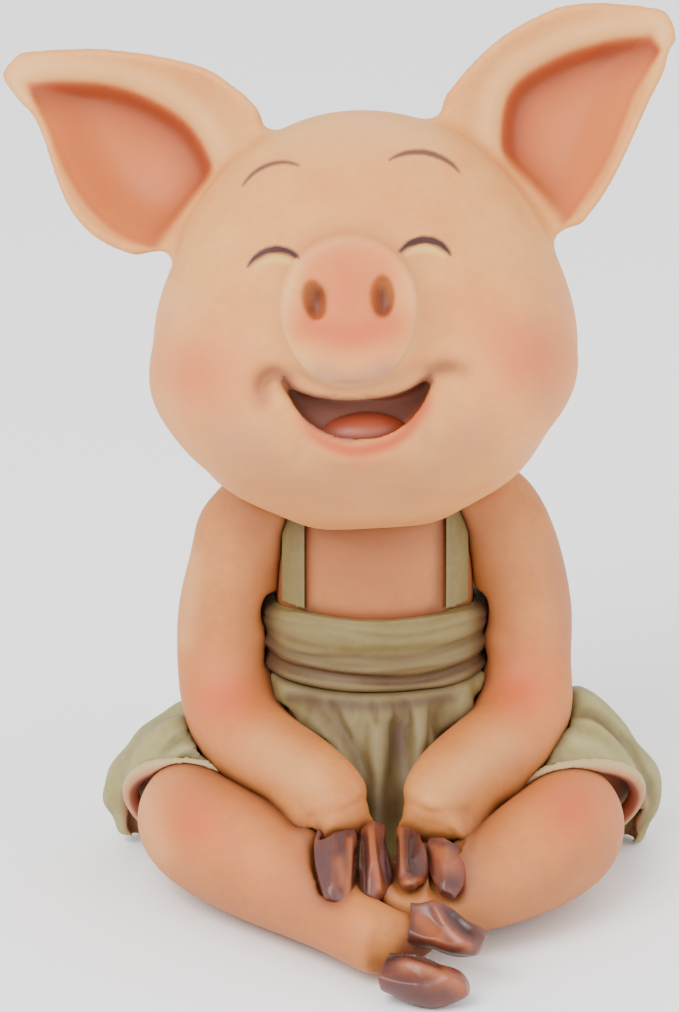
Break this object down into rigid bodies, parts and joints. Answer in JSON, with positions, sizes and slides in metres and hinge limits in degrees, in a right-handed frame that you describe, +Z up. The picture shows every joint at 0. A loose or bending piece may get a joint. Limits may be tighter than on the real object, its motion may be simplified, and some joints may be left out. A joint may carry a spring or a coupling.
{
  "type": "figurine",
  "caption": "Small painted cast-resin figurine of a laughing pig in a gathered sun dress, seated with crossed ankles, resting on the flat under its seat.",
  "frame": {"origin": "on the table, in the flat under the seat, below the neck", "axes": "+Z up, the face towards -Y, +X to the viewer's right"},
  "size_m": [0.0846, 0.0739, 0.1076],
  "materials": {
    "skin": "hand-painted matte, warm peach with blush",
    "snout": "hand-painted matte rose",
    "tongue": "hand-painted matte coral",
    "dress": "hand-painted matte sage green with brown wash",
    "hem": "hand-painted matte peach-brown edge",
    "hoof": "hand-painted satin brown"
  },
  "bodies": {
    "root": {"head": "skin", "snout": "snout", "tongue": "tongue", "left_eyelid": "skin", "right_eyelid": "skin", "left_ear": "skin", "right_ear": "skin", "torso": "skin", "bodice": "dress", "left_strap": "dress", "right_strap": "dress", "left_arm": "skin", "right_arm": "skin", "left_leg": "skin", "right_leg": "skin", "skirt": "dress", "skirt_front": "dress", "left_skirt_puff": "dress", "right_skirt_puff": "dress", "left_hem": "hem", "right_hem": "hem", "left_hand_outer_claw": "hoof", "left_hand_inner_claw": "hoof", "right_hand_outer_claw": "hoof", "right_hand_inner_claw": "hoof", "left_foot_upper_claw": "hoof", "left_foot_lower_claw": "hoof"}
  },
  "joints": []
}
